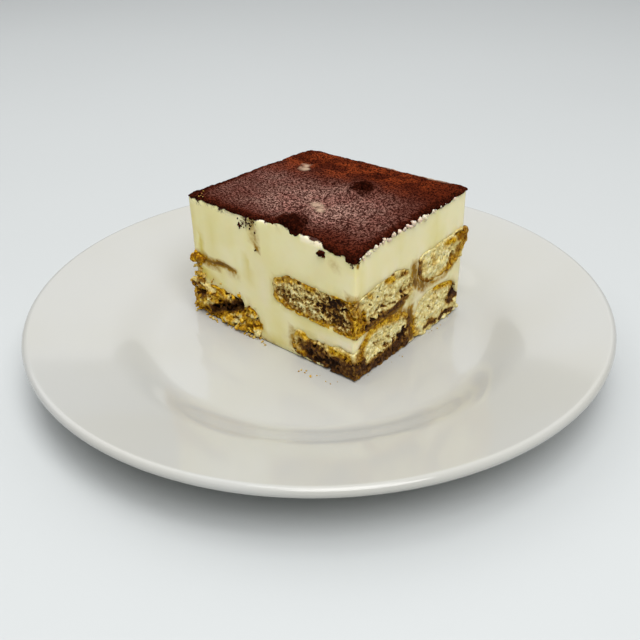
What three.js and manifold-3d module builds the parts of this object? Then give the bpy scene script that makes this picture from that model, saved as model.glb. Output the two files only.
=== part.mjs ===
// A slice of tiramisu on its dessert plate. The slice is a square-cut block of mascarpone
// cream with eight soaked ladyfingers in two layers and a skin of cocoa on top.
// Millimetres, +Z up. The origin is on the table under the plate's centre.
// The slice lies square to the axes: its two cut faces are the -Y face and the +X face.

import * as THREE from "three";
import { mergeVertices } from "three/addons/utils/BufferGeometryUtils.js";
import Module from "manifold-3d";

const wasm = await Module();
wasm.setup();

// Plate
const plateRadius = 105;
const plateHeight = 21;
const lipRadius = 1.75;
const rimSlope = 0.29; // rise of the broad rim for each millimetre outwards
const shoulderRadius = 70; // where the rim turns down into the well
const wellRadius = 61.5; // flat part of the well
const wellFloor = 5.9;
const wellThickness = 3.5;
const rimThickness = 3.3;
const footRadius = 53;
const footWidth = 4;
const plateSegments = 64;

// Slice
const sliceLength = 76.6; // along X
const sliceWidth = 64; // along Y
const sliceLeft = -44.75; // X of the hidden left end
const sliceFront = -18.56; // Y of the front cut face
const sliceHeight = 49.4; // cocoa's top above the well floor, at the front left corner
const riseAtBackLeft = -0.5;
const riseAtBackRight = 1.6;
const cornerDroop = 1.8; // how far the front right corner has sagged
const frontCornerRadius = 1.4;
const backLeftCornerRadius = 1.4;
const leanLeft = 1.5; // how far the top overhangs the base at the front left corner
const leanTurn = 1.8; // how strongly that turns into leaning in towards the back
const leanBack = 1.2; // and along the back
const cocoaThickness = 1.1;
const gap = 0.3; // between touching pieces
const pocketGap = 0.4; // round a ladyfinger
const crumbPitch = 4.6; // spacing of the points round the slice
const sideInset = 0.4; // leaves room for the sides' unevenness
const ringSpreads = [0.18, 0.36, 0.52, 0.66, 0.78, 0.88, 0.96]; // rings across the top

// Two low lumps under the cocoa: place along the length and the width, height, radius.
const lumps = [
  { along: 46.4, across: 41.3, height: 2.3, radius: 6.2 },
  { along: 46, across: 4, height: 2.4, radius: 6.2 },
];

// Ladyfingers. All lie along X and are placed on the slice's own grid: along from its left
// end, across from its front face and up from the well floor. Each has one round end and one
// cut end. power is how square the dome is, tilt lifts the far side, pitch lifts the cut end
// and yaw turns the cut end towards the back, all in degrees.
const ladyfingers = [
  {
    name: "ladyfinger_upper_front",
    tint: 0x9a7440,
    roundEnd: 36.4,
    cutEnd: 76.7,
    across: 14.6,
    halfWidth: 18.2,
    low: 18.1,
    height: 15.4,
    power: 3.2,
    tilt: 5.5,
    pitch: -2,
    yaw: 0,
    front: -0.1,
    rough: 0.35,
  },
  {
    name: "ladyfinger_upper_back",
    tint: 0xc2a76c,
    roundEnd: 41,
    cutEnd: 77,
    across: 51.6,
    halfWidth: 15.6,
    low: 20.8,
    height: 14.2,
    power: 2.8,
    tilt: 3,
    pitch: 0,
    yaw: 3,
    flatSideUp: true,
    rough: 0.35,
  },
  {
    name: "ladyfinger_lower_front",
    tint: 0xb28b52,
    roundEnd: 43.5,
    cutEnd: 76.7,
    across: 16.1,
    halfWidth: 17.3,
    low: gap,
    height: 17.6,
    power: 2.6,
    tilt: 0,
    pitch: 0,
    yaw: 0,
    front: -0.1,
    rough: 0.35,
  },
  {
    name: "ladyfinger_lower_back",
    tint: 0xcdbb80,
    roundEnd: 46,
    cutEnd: 76.6,
    across: 48.4,
    halfWidth: 14.4,
    low: gap,
    height: 17.4,
    power: 3,
    tilt: 0,
    pitch: 0,
    yaw: 0,
    rough: 0.3,
  },
  {
    name: "ladyfinger_upper_left_front",
    tint: 0xa9782c,
    roundEnd: 27,
    cutEnd: -1.4,
    across: 16,
    halfWidth: 17.4,
    low: 19.6,
    height: 7.6,
    power: 2.8,
    tilt: 0,
    pitch: 0,
    yaw: 0,
    front: 2.4,
    cornerLump: true,
    rough: 0.45,
  },
  {
    name: "ladyfinger_upper_left_back",
    tint: 0xb89a5c,
    roundEnd: 30,
    cutEnd: -0.3,
    across: 50,
    halfWidth: 13.5,
    low: 19.8,
    height: 13.4,
    power: 2.8,
    tilt: -2,
    pitch: 0,
    yaw: 0,
    rough: 0.4,
  },
  {
    name: "ladyfinger_lower_left_front",
    tint: 0xb98a33,
    roundEnd: 36.5,
    cutEnd: -2.6,
    across: 15.4,
    halfWidth: 17.5,
    low: gap,
    height: 16,
    power: 2.8,
    tilt: 0,
    pitch: 0,
    yaw: 0,
    front: -1.3,
    broken: true,
    rough: 0.7,
  },
  {
    name: "ladyfinger_lower_left_back",
    tint: 0xc0a566,
    roundEnd: 32,
    cutEnd: -0.4,
    across: 48,
    halfWidth: 13.4,
    low: gap,
    height: 16.4,
    power: 2.9,
    tilt: 0,
    pitch: 0,
    yaw: 0,
    rough: 0.35,
  },
];

// A smooth repeatable unevenness between about -1 and 1.
function unevenness(x, y, z) {
  const wide = Math.sin(0.31 * x + 1.7) * Math.cos(0.27 * y - 0.6) + Math.sin(0.35 * z + 0.21 * x);
  const fine = Math.sin(0.83 * x - 0.52 * y + 2.1) + Math.cos(0.74 * y + 0.91 * z - 0.4);
  return 0.3 * wide + 0.22 * fine;
}

function bump(distance, radius) {
  return Math.exp(-((distance / radius) ** 2));
}

// Closed surface through rings of equally many points, with a point at each end.
function ringStack(firstTip, rings, lastTip) {
  const count = rings[0].length;
  const positions = [firstTip, ...rings.flat(), lastTip].flatMap((p) => [p.x, p.y, p.z]);
  const last = positions.length / 3 - 1;
  const at = (ring, i) => 1 + ring * count + (i % count);
  const index = [];
  for (let i = 0; i < count; i++) {
    index.push(0, at(0, i + 1), at(0, i));
    for (let ring = 0; ring + 1 < rings.length; ring++) {
      index.push(at(ring, i), at(ring, i + 1), at(ring + 1, i));
      index.push(at(ring, i + 1), at(ring + 1, i + 1), at(ring + 1, i));
    }
    index.push(last, at(rings.length - 1, i), at(rings.length - 1, i + 1));
  }
  const geometry = new THREE.BufferGeometry();
  geometry.setAttribute("position", new THREE.Float32BufferAttribute(positions, 3));
  geometry.setIndex(index);
  return geometry;
}

function toSolid(geometry) {
  const closed = mergeVertices(geometry);
  const mesh = new wasm.Mesh({
    numProp: 3,
    vertProperties: closed.attributes.position.array,
    triVerts: new Uint32Array(closed.index.array),
  });
  return new wasm.Manifold(mesh);
}

function toGeometry(solid) {
  const mesh = solid.getMesh();
  const geometry = new THREE.BufferGeometry();
  geometry.setAttribute("position", new THREE.BufferAttribute(mesh.vertProperties, 3));
  geometry.setIndex(new THREE.BufferAttribute(mesh.triVerts, 1));
  return geometry;
}

// Height of the cocoa's surface above the well floor.
function surfaceHeight(along, across) {
  const toBack = across / sliceWidth;
  const toRight = along / sliceLength;
  const level = sliceHeight + toBack * THREE.MathUtils.lerp(riseAtBackLeft, riseAtBackRight, toRight);
  const droop = cornerDroop * bump(sliceLength - along, 12) * bump(across, 9);
  const raised = lumps.map(
    (lump) => lump.height * bump(Math.hypot(along - lump.along, across - lump.across), lump.radius)
  );
  return level - droop + Math.max(...raised) + 0.15 * unevenness(along * 1.7, across * 1.7, 0);
}

// Points round the slice, anticlockwise from above, on its own grid.
function sliceOutline() {
  const right = sliceLength - sideInset;
  const back = sliceWidth - sideInset;
  const corners = [
    { x: sideInset, y: sideInset, radius: frontCornerRadius, from: Math.PI },
    { x: right, y: sideInset, radius: frontCornerRadius, from: 1.5 * Math.PI },
    { x: right, y: back, radius: frontCornerRadius, from: 0 },
    { x: sideInset, y: back, radius: backLeftCornerRadius, from: 0.5 * Math.PI },
  ];
  const arcSteps = 2;
  const arcs = corners.map((corner) => {
    const towards = corner.from + Math.PI / 4;
    const centre = new THREE.Vector2(
      corner.x - Math.sign(Math.cos(towards)) * corner.radius,
      corner.y - Math.sign(Math.sin(towards)) * corner.radius
    );
    const points = [];
    for (let i = 0; i <= arcSteps; i++) {
      const angle = corner.from + (i / arcSteps) * (Math.PI / 2);
      const offset = new THREE.Vector2(Math.cos(angle), Math.sin(angle));
      points.push(centre.clone().addScaledVector(offset, corner.radius));
    }
    return points;
  });
  return arcs.flatMap((arc, i) => {
    const start = arc[arcSteps];
    const end = arcs[(i + 1) % arcs.length][0];
    const steps = Math.round(start.distanceTo(end) / crumbPitch);
    const side = [];
    for (let k = 1; k < steps; k++) side.push(start.clone().lerp(end, k / steps));
    return [...arc, ...side];
  });
}

// From the slice's grid to the plate's frame.
function place(along, across, up) {
  return new THREE.Vector3(sliceLeft + along, sliceFront + across, wellFloor + up);
}

// The same for a point of the block, which leans out a little towards its top.
function placeLeaning(along, across, up) {
  const share = up / sliceHeight;
  const toBack = across / sliceWidth;
  const toLeft = (1 - along / sliceLength) * (1 - leanTurn * toBack);
  return place(along - leanLeft * share * toLeft, across + leanBack * share * toBack, up);
}

// A slab with the slice's outline: low and high give its faces' heights, lowSpreads the rings
// across its underside, levels the rows of points up its sides, and drift moves these outwards.
function slab(low, high, lowSpreads, levels, drift) {
  const outline = sliceOutline();
  const middle = new THREE.Vector2(sliceLength / 2, sliceWidth / 2);
  const ring = (spread, height) =>
    outline.map((point) => {
      const p = middle.clone().lerp(point, spread);
      return placeLeaning(p.x, p.y, height(p.x, p.y));
    });
  const side = (level) =>
    outline.map((point) => {
      const up = THREE.MathUtils.lerp(low(point.x, point.y), high(point.x, point.y), level);
      const outwards = point.clone().sub(middle);
      outwards.set(
        Math.abs(outwards.x) > middle.x - sideInset - frontCornerRadius ? Math.sign(outwards.x) : 0,
        Math.abs(outwards.y) > middle.y - sideInset - frontCornerRadius ? Math.sign(outwards.y) : 0
      );
      const p = point.clone().addScaledVector(outwards, drift(point.x, point.y, up, level));
      return placeLeaning(p.x, p.y, up);
    });
  const rings = [
    ...lowSpreads.map((spread) => ring(spread, low)),
    ...levels.map(side),
    ...ringSpreads.toReversed().map((spread) => ring(spread, high)),
  ];
  return ringStack(
    placeLeaning(middle.x, middle.y, low(middle.x, middle.y)),
    rings,
    placeLeaning(middle.x, middle.y, high(middle.x, middle.y))
  );
}

// Where a ladyfinger's front side has been sliced or broken off, across from the cut face.
// Only the ladyfinger that the cream covers has a front wall to its pocket.
function frontSide(finger, along, up, isPocket) {
  if (finger.front === undefined || (isPocket && !finger.cornerLump)) return -Infinity;
  let across = finger.front;
  if (finger.cornerLump) across -= 3.4 * bump(along + 1.5, 4.2);
  if (finger.broken) {
    across += 4.2 * bump((along - 16) / 1.9, 4) * bump(up - 7.5, 3.4);
    across += 0.9 * unevenness(along * 1.6, 3, up * 1.8);
  }
  return across + 0.15 * unevenness(along, 9, up);
}

// One ladyfinger, or with grow its pocket in the cream. A pocket in the lower layer is open
// at the plate, and a pocket runs out past the slice's end.
function fingerGeometry(finger, grow = 0) {
  const towardsCut = Math.sign(finger.cutEnd - finger.roundEnd);
  const isPocket = grow > 0;
  const cutEnd = finger.cutEnd + (isPocket ? 4 * towardsCut : 0);
  const roundEnd = finger.roundEnd - grow * towardsCut;
  const length = Math.abs(cutEnd - roundEnd);
  const roundLength = 8.5;
  const endPower = 1.7; // the section is nearly an ellipse at the round end
  const basePower = 5;
  const isLower = finger.low < 5;
  const baseShare = 0.2;
  const waist = finger.low + baseShare * finger.height;
  const domeHeight = (1 - baseShare) * finger.height + grow;
  const baseDepth = baseShare * finger.height + grow;
  const ringPoints = 18;
  const stations = 11;
  const tiltAngle = THREE.MathUtils.degToRad(finger.tilt);
  const pitchSlope = Math.tan(THREE.MathUtils.degToRad(finger.pitch));
  const yawSlope = Math.tan(THREE.MathUtils.degToRad(finger.yaw));

  const sectionPoint = (travel, inEnd, share, i) => {
    const angle = ((i + 0.5) / ringPoints) * 2 * Math.PI;
    const cos = Math.cos(angle);
    const sin = Math.sin(angle);
    const onDome = sin > 0;
    const power = THREE.MathUtils.lerp(endPower, onDome ? finger.power : basePower, inEnd);
    let across = Math.sign(cos) * Math.abs(cos) ** (2 / power) * (finger.halfWidth + grow) * share;
    let up = Math.abs(sin) ** (2 / power) * (onDome ? domeHeight : -baseDepth);
    up *= share ** 0.6;
    if (isPocket && isLower && !onDome) up = -baseDepth - 3;
    const along = roundEnd + travel * towardsCut;
    const swell = 1 + (finger.rough / 12) * unevenness(along, i * 2.3, finger.across);
    across *= swell;
    if (onDome) up *= swell;
    if (finger.flatSideUp) up = (1 - 2 * baseShare) * finger.height - up;
    const turned = new THREE.Vector2(across, up).rotateAround(new THREE.Vector2(), tiltAngle);
    const fromCut = Math.abs(finger.cutEnd - along) * towardsCut * -1;
    up = waist + turned.y + fromCut * pitchSlope * towardsCut;
    across = finger.across + turned.x + fromCut * yawSlope * towardsCut;
    const front = frontSide(finger, along, up, isPocket) - grow;
    return place(along, Math.max(across, front), up);
  };

  const rings = [];
  for (let k = 0; k < stations; k++) {
    const share = k / (stations - 1);
    const travel = length * (0.35 * share + 0.65 * share ** 2.2) + 0.25 * (1 - share);
    const inEnd = Math.min(travel / roundLength, 1);
    const width = (1 - (1 - inEnd) ** 2.2) ** (1 / 2.2);
    const ring = [];
    for (let i = 0; i < ringPoints; i++) ring.push(sectionPoint(travel, inEnd, width, i));
    rings.push(ring);
  }
  const isMirrored = towardsCut < 0 !== Boolean(finger.flatSideUp);
  if (isMirrored) rings.forEach((ring) => ring.reverse());
  const middleOf = (ring) =>
    ring.reduce((sum, p) => sum.add(p), new THREE.Vector3()).divideScalar(ring.length);
  return ringStack(middleOf(rings[0]), rings, middleOf(rings[stations - 1]));
}

function plateGeometry() {
  const lipCentre = new THREE.Vector2(plateRadius - lipRadius, plateHeight - lipRadius);
  const rimTopEnd = lipCentre.clone().add(new THREE.Vector2(-1.2, 1.2));
  const shoulder = new THREE.Vector2(
    shoulderRadius,
    rimTopEnd.y - (rimTopEnd.x - shoulderRadius) * rimSlope
  );
  const underside = wellFloor - wellThickness;
  const footInner = footRadius - footWidth / 2;
  const footOuter = footRadius + footWidth / 2;
  const profile = new THREE.Path();
  profile.moveTo(0, underside);
  profile.lineTo(footInner - 1.2, underside);
  profile.lineTo(footInner, 0);
  profile.lineTo(footOuter, 0);
  profile.lineTo(footOuter + 1.4, underside - 0.6);
  profile.bezierCurveTo(
    wellRadius + 2,
    underside + 0.2,
    shoulder.x - 4,
    shoulder.y - rimThickness - 3,
    shoulder.x + 1.5,
    shoulder.y - rimThickness + 0.2
  );
  profile.lineTo(lipCentre.x - 1.4, lipCentre.y - 1.7);
  profile.absarc(lipCentre.x, lipCentre.y, lipRadius, -0.4 * Math.PI, 0.6 * Math.PI, false);
  profile.lineTo(shoulder.x + 3, shoulder.y + 3 * rimSlope);
  profile.bezierCurveTo(
    shoulder.x - 2.5,
    shoulder.y - 0.6,
    wellRadius + 4.5,
    wellFloor + 0.3,
    wellRadius,
    wellFloor
  );
  profile.lineTo(0, wellFloor);
  const geometry = new THREE.LatheGeometry(profile.getPoints(5), plateSegments);
  return geometry.rotateX(Math.PI / 2);
}

function creamGeometry() {
  const low = () => gap;
  const high = (along, across) => surfaceHeight(along, across) - cocoaThickness - gap;
  const drift = (along, across, up) => 0.3 * unevenness(along, across, up * 0.6);
  const levels = [0, 0.12, 0.3, 0.5, 0.7, 0.88, 1];
  let cream = toSolid(slab(low, high, [0.5], levels, drift));
  for (const finger of ladyfingers) cream = cream.subtract(toSolid(fingerGeometry(finger, pocketGap)));
  return toGeometry(cream);
}

function cocoaGeometry() {
  const low = (along, across) => surfaceHeight(along, across) - cocoaThickness;
  const drift = (along, across, up, level) =>
    0.35 * unevenness(along * 2.3, across * 2.3, 5) - 0.5 * level ** 2;
  return slab(low, surfaceHeight, ringSpreads, [0, 0.6, 1], drift);
}

const group = new THREE.Group();

function addPiece(name, geometry, color, roughness) {
  const piece = new THREE.Mesh(
    geometry,
    new THREE.MeshStandardMaterial({ color, roughness, metalness: 0 })
  );
  piece.name = name;
  group.add(piece);
}

addPiece("plate", plateGeometry(), 0xdcdbd3, 0.15);
addPiece("mascarpone_cream", creamGeometry(), 0xe2dab0, 0.5);
addPiece("cocoa_layer", cocoaGeometry(), 0x4a2015, 0.9);
for (const finger of ladyfingers) addPiece(finger.name, fingerGeometry(finger), finger.tint, 0.85);

export default group;
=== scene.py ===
# Tiramisu slice on a dessert plate. The forms are worked out in millimetres on the slice's own
# grid (along its length, across its width, up from the well) and made in metres.
import math

import bmesh
import bpy
import numpy as np
import openvdb
from mathutils import Matrix, Vector
from mathutils.bvhtree import BVHTree


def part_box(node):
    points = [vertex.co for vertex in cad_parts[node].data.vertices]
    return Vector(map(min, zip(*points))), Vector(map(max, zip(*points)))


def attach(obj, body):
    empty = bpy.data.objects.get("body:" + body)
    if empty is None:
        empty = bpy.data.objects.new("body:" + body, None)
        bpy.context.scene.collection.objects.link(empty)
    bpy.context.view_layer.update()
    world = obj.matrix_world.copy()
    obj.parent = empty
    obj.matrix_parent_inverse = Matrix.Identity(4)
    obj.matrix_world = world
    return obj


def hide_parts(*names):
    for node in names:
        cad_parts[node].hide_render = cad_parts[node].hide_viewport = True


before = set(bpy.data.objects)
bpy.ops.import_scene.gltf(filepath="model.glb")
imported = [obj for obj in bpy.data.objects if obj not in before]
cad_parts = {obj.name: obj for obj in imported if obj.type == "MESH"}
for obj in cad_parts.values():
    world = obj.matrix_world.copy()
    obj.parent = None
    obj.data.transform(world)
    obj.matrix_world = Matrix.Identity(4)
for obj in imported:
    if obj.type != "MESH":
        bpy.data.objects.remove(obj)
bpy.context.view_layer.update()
mm = 0.001

sliceGrid = {
    "left": -44.75,
    "front": -18.56,
    "length": 76.6,
    "width": 64.0,
    "height": 49.4,
    "floor": 5.9,
    "leanLeft": 1.5,
    "leanTurn": 1.8,
    "leanBack": 1.2,
}
gridOrigin = np.array([sliceGrid["left"], sliceGrid["front"], sliceGrid["floor"]])
length, width = sliceGrid["length"], sliceGrid["width"]


def tone(red, green, blue):  # screen colour 0..255 to scene linear
    values = [red / 255, green / 255, blue / 255]
    return tuple(v / 12.92 if v <= 0.04045 else ((v + 0.055) / 1.055) ** 2.4 for v in values) + (1,)


def clamp(values, low=0.0, high=1.0):
    return np.clip(values, low, high)


def smooth(values, start, end):  # eased step from 0 to 1
    t = clamp((values - start) / (end - start))
    return t * t * (3 - 2 * t)


# Camera and light.
cameraSetup = {
    "place": (178.67, -206.17, 173.15),
    "azimuth": 40.82,
    "elevation": 30.813,
    "roll": -0.943,
    "lens": 47.81,
}


def makeCamera():
    data = bpy.data.cameras.new("camera")
    data.lens = cameraSetup["lens"]
    data.sensor_width = 36
    data.clip_start = 0.01
    camera = bpy.data.objects.new("camera", data)
    bpy.context.scene.collection.objects.link(camera)
    azimuth = math.radians(cameraSetup["azimuth"])
    elevation = math.radians(cameraSetup["elevation"])
    forward = Vector((
        -math.sin(azimuth) * math.cos(elevation),
        math.cos(azimuth) * math.cos(elevation),
        -math.sin(elevation),
    ))
    turn = forward.to_track_quat("-Z", "Y").to_matrix().to_4x4()
    roll = Matrix.Rotation(math.radians(cameraSetup["roll"]), 4, "Z")
    camera.matrix_world = Matrix.Translation(Vector(cameraSetup["place"]) * mm) @ turn @ roll
    bpy.context.scene.camera = camera


lightSetup = {
    "lamps": {
        "overhead": {"place": (0.10, -0.10, 1.60), "size": 0.9, "power": 9.0},
        "key": {"place": (0.55, -0.35, 0.95), "size": 0.8, "power": 9.8},
        "back": {"place": (-0.30, 0.55, 0.95), "size": 1.5, "power": 4.4},
        "left": {"place": (-0.60, -0.10, 0.80), "size": 0.9, "power": 2.0},
        "front": {"place": (0.15, -0.75, 0.75), "size": 0.8, "power": 0.9},
    },
    "aim": (0, 0, 0.03),
    "worldColour": (0.95, 0.975, 1.0, 1),
    "worldStrength": 0.18,
    "floorSize": 6.0,
}


def makeLights():
    for name, setup in lightSetup["lamps"].items():
        data = bpy.data.lights.new(name, "AREA")
        data.shape = "DISK"
        data.size = setup["size"]
        data.energy = setup["power"]
        lamp = bpy.data.objects.new(name, data)
        lamp.location = setup["place"]
        aim = Vector(lightSetup["aim"]) - lamp.location
        lamp.rotation_euler = aim.to_track_quat("-Z", "Y").to_euler()
        bpy.context.scene.collection.objects.link(lamp)
    world = bpy.data.worlds.new("studio")
    world.use_nodes = True
    background = world.node_tree.nodes["Background"]
    background.inputs["Color"].default_value = lightSetup["worldColour"]
    background.inputs["Strength"].default_value = lightSetup["worldStrength"]
    bpy.context.scene.world = world
    bpy.context.scene.view_settings.view_transform = "Standard"


def latticeNoise(shape, cells, seed):  # smooth noise, about -1..1, with that many cells each way
    values = np.random.default_rng(seed).uniform(-1, 1, [int(c) + 2 for c in cells])
    values = values.astype(np.float32)
    for axis, (count, cellCount) in enumerate(zip(shape, cells)):
        place = np.linspace(0, cellCount, count, endpoint=False, dtype=np.float32)
        low = place.astype(int)
        part = place - low
        part = part * part * (3 - 2 * part)
        part = part.reshape([-1 if a == axis else 1 for a in range(len(shape))])
        values = np.take(values, low, axis) * (1 - part) + np.take(values, low + 1, axis) * part
    return values.astype(np.float32)


def blur(field, spread):  # gaussian, spread in cells
    reach = int(math.ceil(spread * 2.5))
    taps = np.exp(-0.5 * (np.arange(-reach, reach + 1) / spread) ** 2)
    taps /= taps.sum()
    for axis in range(field.ndim):
        ends = [(reach, reach) if a == axis else (0, 0) for a in range(field.ndim)]
        padded = np.pad(field, ends, mode="edge")
        field = sum(
            np.float32(tap) * np.take(padded, np.arange(k, k + field.shape[axis]), axis)
            for k, tap in enumerate(taps)
        )
    return field.astype(np.float32)


class Space:  # a box of cells on the slice's grid, in millimetres
    def __init__(self, low, high, step):
        self.step = step
        self.low = np.floor(np.array(low) / step) * step
        self.shape = tuple(int(n) for n in np.ceil((np.array(high) - self.low) / step) + 1)
        self.axes = [(self.low[a] + step * np.arange(n)).astype(np.float32) for a, n in enumerate(self.shape)]
        self.along, self.across, self.up = np.ix_(*self.axes)

    def noise(self, wavelength, seed):
        lengths = np.broadcast_to(wavelength, 3)
        cells = [max(2, round(n * self.step / w)) for n, w in zip(self.shape, lengths)]
        return latticeNoise(self.shape, cells, seed)

    def noises(self, rows):  # rows of height, wavelength, seed
        return sum(height * self.noise(wavelength, seed) for height, wavelength, seed in rows)

    def noiseAt(self, points, wavelength, seed):
        return self.sample(self.noise(wavelength, seed), points)

    def sample(self, field, points):  # trilinear
        place = (points - self.low) / self.step
        cell = np.clip(np.floor(place).astype(int), 0, np.array(self.shape) - 2)
        part = place - cell
        total = np.zeros(len(points))
        for corner in np.ndindex(2, 2, 2):
            share = np.prod(np.where(corner, part, 1 - part), axis=1)
            at = cell + corner
            total += share * field[at[:, 0], at[:, 1], at[:, 2]]
        return total


def cadShape(node):  # a CAD node's welded points on the slice's grid, and its triangles
    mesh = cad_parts[node].data
    mesh.calc_loop_triangles()
    points = np.zeros(len(mesh.vertices) * 3, np.float32)
    mesh.vertices.foreach_get("co", points)
    corners = np.zeros(len(mesh.loop_triangles) * 3, np.int32)
    mesh.loop_triangles.foreach_get("vertices", corners)
    points = points.reshape(-1, 3) / mm - gridOrigin
    welded, index = np.unique(np.round(points, 3), axis=0, return_inverse=True)
    return welded, index.ravel()[corners].reshape(-1, 3)


def distanceField(space, points, triangles, reach):  # signed distance to a closed shape
    transform = openvdb.createLinearTransform(voxelSize=space.step)
    grid = openvdb.FloatGrid.createLevelSetFromPolygons(
        points.astype(np.float32),
        triangles=triangles.astype(np.uint32),
        transform=transform,
        halfWidth=reach / space.step,
    )
    field = np.zeros(space.shape, np.float32)
    grid.copyToArray(field, ijk=tuple(int(round(v)) for v in space.low / space.step))
    return field


def placeBlobs(space, field, centres, radii, stretches, random, add=False):
    # takes small turned ellipsoids out of a field, or adds them to it
    for centre, radius, stretch in zip(centres, radii, stretches):
        turn = np.linalg.qr(random.normal(size=(3, 3)))[0]
        reach = radius * stretch.max() + space.step
        start = np.maximum(np.floor((centre - reach - space.low) / space.step).astype(int), 0)
        end = np.minimum(np.ceil((centre + reach - space.low) / space.step).astype(int) + 1, space.shape)
        if np.any(start >= end):
            continue
        block = field[start[0]:end[0], start[1]:end[1], start[2]:end[2]]
        sides = [space.axes[a][start[a]:end[a]] - centre[a] for a in range(3)]
        offsets = np.stack(np.meshgrid(*sides, indexing="ij"), axis=-1) @ turn / stretch
        distance = np.linalg.norm(offsets, axis=-1) - radius
        if add:
            np.minimum(block, distance, out=block)
        else:
            np.maximum(block, -distance, out=block)


def largestPart(points, faceSets):  # drops crumbs and bubbles that aren't joined to the main body
    label = np.arange(len(points))
    edges = np.concatenate([
        np.stack([faces[:, k], faces[:, (k + 1) % faces.shape[1]]], axis=1)
        for faces in faceSets if len(faces)
        for k in range(faces.shape[1])
    ])
    while True:
        lowest = np.minimum(label[edges[:, 0]], label[edges[:, 1]])
        before = label.copy()
        np.minimum.at(label, edges[:, 0], lowest)
        np.minimum.at(label, edges[:, 1], lowest)
        label = label[label]
        if np.array_equal(label, before):
            break
    names, counts = np.unique(label, return_counts=True)
    keep = label == names[counts.argmax()]
    renumber = np.cumsum(keep) - 1
    kept = [renumber[faces[keep[faces].all(axis=1)]] if len(faces) else faces for faces in faceSets]
    return points[keep], kept


def makeMesh(name, points, faceSets, gridPoints=True):
    mesh = bpy.data.meshes.new(name)
    placed = (points + gridOrigin) * mm if gridPoints else points
    sizes = np.concatenate([np.full(len(f), f.shape[1]) for f in faceSets if len(f)])
    corners = np.concatenate([f.ravel() for f in faceSets if len(f)])
    mesh.vertices.add(len(placed))
    mesh.vertices.foreach_set("co", placed.astype(np.float32).ravel())
    mesh.loops.add(len(corners))
    mesh.loops.foreach_set("vertex_index", corners.astype(np.int32))
    mesh.polygons.add(len(sizes))
    starts = np.concatenate([[0], np.cumsum(sizes)[:-1]])
    mesh.polygons.foreach_set("loop_start", starts.astype(np.int32))
    mesh.polygons.foreach_set("use_smooth", np.ones(len(sizes), bool))
    mesh.update(calc_edges=True)
    mesh.validate()
    piece = bpy.data.objects.new(name, mesh)
    bpy.context.scene.collection.objects.link(piece)
    return piece


def fieldMesh(name, space, field, adaptivity=0.0):
    for axis in range(3):  # a closed shape even where it meets the box
        for end in (0, -1):
            side = [slice(None)] * 3
            side[axis] = end
            field[tuple(side)] = np.maximum(field[tuple(side)], space.step)
    grid = openvdb.FloatGrid(background=space.step * 3)
    grid.copyFromArray(field)
    points, triangles, quads = grid.convertToPolygons(isovalue=0.0, adaptivity=adaptivity)
    points = points * space.step + space.low
    points, faceSets = largestPart(points, [triangles.astype(int), quads.astype(int)])
    piece = makeMesh(name, points, faceSets)
    count = sum(len(faces) * (faces.shape[1] - 2) for faces in faceSets if len(faces))
    print(name, count, "triangles")
    return piece, points


def paint(piece, **layers):  # values at every point, for the materials
    for name, values in layers.items():
        layer = piece.data.attributes.new(name, "FLOAT", "POINT")
        layer.data.foreach_set("value", np.asarray(values, np.float32))


def dress(piece, material):
    piece.data.materials.append(material)
    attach(piece, "root")


# Node groups shared by the materials.
def newGroup(name, inputs, outputs):
    group = bpy.data.node_groups.new(name, "ShaderNodeTree")
    for label, value in inputs:
        socket = group.interface.new_socket(label, in_out="INPUT", socket_type="NodeSocketFloat")
        socket.default_value = value
    for label in outputs:
        group.interface.new_socket(label, in_out="OUTPUT", socket_type="NodeSocketFloat")
    return group, group.nodes.new("NodeGroupInput"), group.nodes.new("NodeGroupOutput")


def connect(tree, socket, value):  # a fixed value, or another node's output
    if isinstance(value, (int, float, tuple)):
        socket.default_value = value
    else:
        tree.links.new(value, socket)


def addMath(tree, operation, first, second, limit):
    node = tree.nodes.new("ShaderNodeMath")
    node.operation = operation
    node.use_clamp = limit
    connect(tree, node.inputs[0], first)
    connect(tree, node.inputs[1], second)
    return node.outputs[0]


def plus(tree, first, second, limit=False):
    return addMath(tree, "ADD", first, second, limit)


def minus(tree, first, second, limit=False):
    return addMath(tree, "SUBTRACT", first, second, limit)


def times(tree, first, second, limit=False):
    return addMath(tree, "MULTIPLY", first, second, limit)


def addMix(tree, factor, first, second, kind="RGBA"):  # kind FLOAT mixes two values
    node = tree.nodes.new("ShaderNodeMix")
    node.data_type = kind
    node.clamp_factor = True
    start, output = {"RGBA": (6, 2), "FLOAT": (2, 0)}[kind]
    connect(tree, node.inputs[0], factor)
    connect(tree, node.inputs[start], first)
    connect(tree, node.inputs[start + 1], second)
    return node.outputs[output]


def addStep(tree, value, low, high):  # eased step of a value
    node = tree.nodes.new("ShaderNodeMapRange")
    node.interpolation_type = "SMOOTHSTEP"
    tree.links.new(value, node.inputs["Value"])
    node.inputs["From Min"].default_value = low
    node.inputs["From Max"].default_value = high
    return node.outputs["Result"]


def addAttribute(tree, name):
    node = tree.nodes.new("ShaderNodeAttribute")
    node.attribute_name = name
    return node.outputs["Fac"]


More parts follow.
